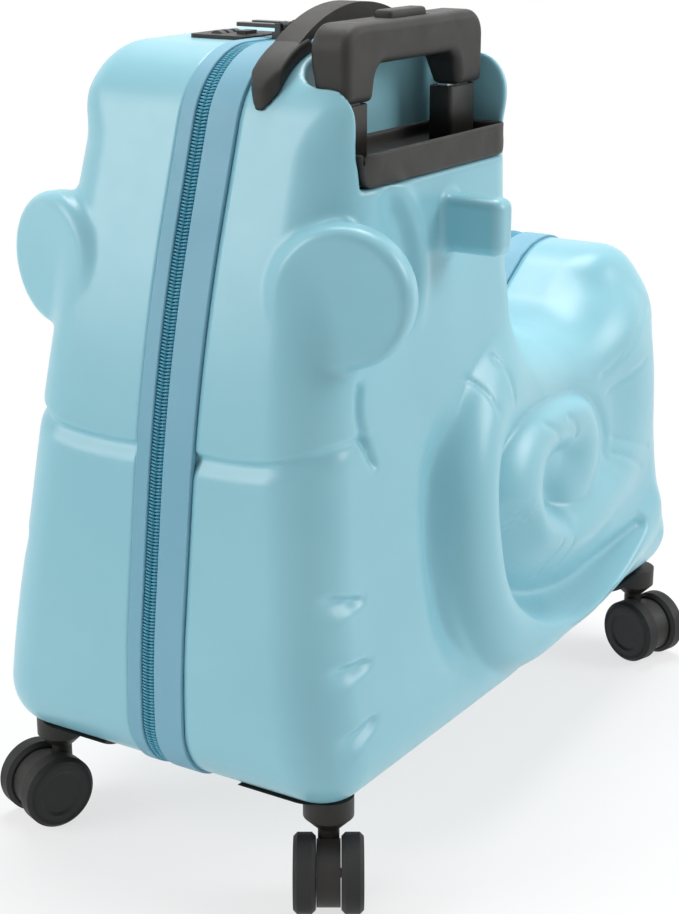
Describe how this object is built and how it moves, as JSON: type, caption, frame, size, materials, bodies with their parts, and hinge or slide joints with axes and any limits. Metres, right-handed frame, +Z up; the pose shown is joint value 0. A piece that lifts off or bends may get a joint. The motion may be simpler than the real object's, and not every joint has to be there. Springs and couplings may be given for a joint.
{
  "type": "ride on suitcase",
  "caption": "Hard two-shell children's suitcase in a snail shape with a saddle seat, spiral sides, swivel casters, zip, lock, carry handle and a telescopic trolley handle.",
  "frame": {"origin": "on the floor under the middle of the case", "axes": "+X across the case towards the trolley handle, +Y along it towards the tail, +Z up"},
  "size_m": [0.3026, 0.547, 0.541],
  "materials": {
    "shell_blue": "satin moulded plastic",
    "band_blue": "soft matt trim",
    "zip_coil": "woven zip tape with a nylon coil",
    "hinge_fabric": "woven",
    "black_plastic": "fine matt texture",
    "handle_rubber": "soft matt",
    "tyre_grey": "matt",
    "hub_black": "satin",
    "tube_aluminium": "satin anodised",
    "steel": "plain",
    "dark_metal": "black",
    "dial_plastic": "satin"
  },
  "bodies": {
    "right_case": {"right_shell": "shell_blue", "right_rim_band": "band_blue", "right_zip_tape": "zip_coil", "hinge_strip": "hinge_fabric", "trolley_tray": "black_plastic", "trolley_outer_tubes": "tube_aluminium", "trolley_foot": "black_plastic", "carry_base_front": "black_plastic", "carry_base_rear": "black_plastic", "carry_strap": "handle_rubber", "carry_grip_pad": "handle_rubber", "zip_slider_front": "dark_metal", "zip_slider_rear": "dark_metal", "front_right_caster_mount": "black_plastic", "rear_right_caster_mount": "black_plastic"},
    "left_case": {"left_shell": "shell_blue", "left_rim_band": "band_blue", "left_zip_tape": "zip_coil", "lock_case": "black_plastic", "front_left_caster_mount": "black_plastic", "rear_left_caster_mount": "black_plastic"},
    "trolley_middle": {"trolley_middle_tubes": "tube_aluminium"},
    "trolley_inner": {"trolley_inner_tubes": "tube_aluminium", "trolley_grip": "black_plastic"},
    "grip_button": {"trolley_button": "black_plastic", "trolley_push_rods": "steel"},
    "lock_dial_1": {"lock_dial_1": "dial_plastic"},
    "lock_dial_2": {"lock_dial_2": "dial_plastic"},
    "lock_dial_3": {"lock_dial_3": "dial_plastic"},
    "lock_button": {"lock_button": "black_plastic"},
    "zip_pull_front": {"zip_pull_front": "dark_metal"},
    "zip_pull_rear": {"zip_pull_rear": "dark_metal"},
    "front_right_swivel": {"front_right_caster_fork": "black_plastic", "front_right_caster_axle": "steel"},
    "front_right_inner_wheel": {"front_right_inner_hub": "hub_black", "front_right_inner_tyre": "tyre_grey"},
    "front_right_outer_wheel": {"front_right_outer_hub": "hub_black", "front_right_outer_tyre": "tyre_grey"},
    "front_left_swivel": {"front_left_caster_fork": "black_plastic", "front_left_caster_axle": "steel"},
    "front_left_inner_wheel": {"front_left_inner_hub": "hub_black", "front_left_inner_tyre": "tyre_grey"},
    "front_left_outer_wheel": {"front_left_outer_hub": "hub_black", "front_left_outer_tyre": "tyre_grey"},
    "rear_right_swivel": {"rear_right_caster_fork": "black_plastic", "rear_right_caster_axle": "steel"},
    "rear_right_inner_wheel": {"rear_right_inner_hub": "hub_black", "rear_right_inner_tyre": "tyre_grey"},
    "rear_right_outer_wheel": {"rear_right_outer_hub": "hub_black", "rear_right_outer_tyre": "tyre_grey"},
    "rear_left_swivel": {"rear_left_caster_fork": "black_plastic", "rear_left_caster_axle": "steel"},
    "rear_left_inner_wheel": {"rear_left_inner_hub": "hub_black", "rear_left_inner_tyre": "tyre_grey"},
    "rear_left_outer_wheel": {"rear_left_outer_hub": "hub_black", "rear_left_outer_tyre": "tyre_grey"}
  },
  "joints": [
    {"name": "case_hinge", "type": "hinge", "parent": "right_case", "child": "left_case", "pos_m": [0, 0, 0.066], "axis": [0, -1, 0], "range_deg": [0, 90], "deforming": ["hinge_strip"]},
    {"name": "trolley_middle_slide", "type": "slide", "parent": "right_case", "child": "trolley_middle", "axis": [0, 0, 1], "range_m": [0, 0.24]},
    {"name": "trolley_inner_slide", "type": "slide", "parent": "trolley_middle", "child": "trolley_inner", "axis": [0, 0, 1], "range_m": [0, 0.24]},
    {"name": "grip_button_press", "type": "slide", "parent": "trolley_inner", "child": "grip_button", "axis": [0, 0, -1], "range_m": [0, 0.004], "stiffness_N_per_m": 800, "springref_m": -0.004},
    {"name": "zip_pull_front_swing", "type": "hinge", "parent": "right_case", "child": "zip_pull_front", "pos_m": [0, -0.1145, 0.524], "axis": [0, 1, 0], "range_deg": [0, 140]},
    {"name": "zip_pull_rear_swing", "type": "hinge", "parent": "right_case", "child": "zip_pull_rear", "pos_m": [0, -0.0975, 0.524], "axis": [0, 1, 0], "range_deg": [0, 140]},
    {"name": "lock_dial_1_turn", "type": "hinge", "parent": "left_case", "child": "lock_dial_1", "pos_m": [-0.0495, -0.114, 0.5122], "axis": [0, 1, 0], "continuous": true},
    {"name": "lock_dial_2_turn", "type": "hinge", "parent": "left_case", "child": "lock_dial_2", "pos_m": [-0.0495, -0.106, 0.5122], "axis": [0, 1, 0], "continuous": true},
    {"name": "lock_dial_3_turn", "type": "hinge", "parent": "left_case", "child": "lock_dial_3", "pos_m": [-0.0495, -0.098, 0.5122], "axis": [0, 1, 0], "continuous": true},
    {"name": "lock_button_slide", "type": "slide", "parent": "left_case", "child": "lock_button", "axis": [-1, 0, 0], "range_m": [0, 0.003], "stiffness_N_per_m": 150, "springref_m": -0.001},
    {"name": "front_right_swivel_turn", "type": "hinge", "parent": "right_case", "child": "front_right_swivel", "pos_m": [0.108, -0.231, 0.052], "axis": [0, 0, 1], "continuous": true},
    {"name": "front_right_inner_spin", "type": "hinge", "parent": "front_right_swivel", "child": "front_right_inner_wheel", "pos_m": [0.11499, -0.24196, 0.025], "axis": [0.8434, 0.5373, 0], "continuous": true},
    {"name": "front_right_outer_spin", "type": "hinge", "parent": "front_right_swivel", "child": "front_right_outer_wheel", "pos_m": [0.11499, -0.24196, 0.025], "axis": [0.8434, 0.5373, 0], "continuous": true},
    {"name": "front_left_swivel_turn", "type": "hinge", "parent": "left_case", "child": "front_left_swivel", "pos_m": [-0.108, -0.231, 0.052], "axis": [0, 0, 1], "continuous": true},
    {"name": "front_left_inner_spin", "type": "hinge", "parent": "front_left_swivel", "child": "front_left_inner_wheel", "pos_m": [-0.11266, -0.24314, 0.025], "axis": [0.9336, -0.3584, 0], "continuous": true},
    {"name": "front_left_outer_spin", "type": "hinge", "parent": "front_left_swivel", "child": "front_left_outer_wheel", "pos_m": [-0.11266, -0.24314, 0.025], "axis": [0.9336, -0.3584, 0], "continuous": true},
    {"name": "rear_right_swivel_turn", "type": "hinge", "parent": "right_case", "child": "rear_right_swivel", "pos_m": [0.108, 0.231, 0.052], "axis": [0, 0, 1], "continuous": true},
    {"name": "rear_right_inner_spin", "type": "hinge", "parent": "rear_right_swivel", "child": "rear_right_inner_wheel", "pos_m": [0.12036, 0.22698, 0.025], "axis": [0.309, 0.9511, 0], "continuous": true},
    {"name": "rear_right_outer_spin", "type": "hinge", "parent": "rear_right_swivel", "child": "rear_right_outer_wheel", "pos_m": [0.12036, 0.22698, 0.025], "axis": [0.309, 0.9511, 0], "continuous": true},
    {"name": "rear_left_swivel_turn", "type": "hinge", "parent": "left_case", "child": "rear_left_swivel", "pos_m": [-0.108, 0.231, 0.052], "axis": [0, 0, 1], "continuous": true},
    {"name": "rear_left_inner_spin", "type": "hinge", "parent": "rear_left_swivel", "child": "rear_left_inner_wheel", "pos_m": [-0.10101, 0.24196, 0.025], "axis": [-0.8434, 0.5373, 0], "continuous": true},
    {"name": "rear_left_outer_spin", "type": "hinge", "parent": "rear_left_swivel", "child": "rear_left_outer_wheel", "pos_m": [-0.10101, 0.24196, 0.025], "axis": [-0.8434, 0.5373, 0], "continuous": true}
  ]
}
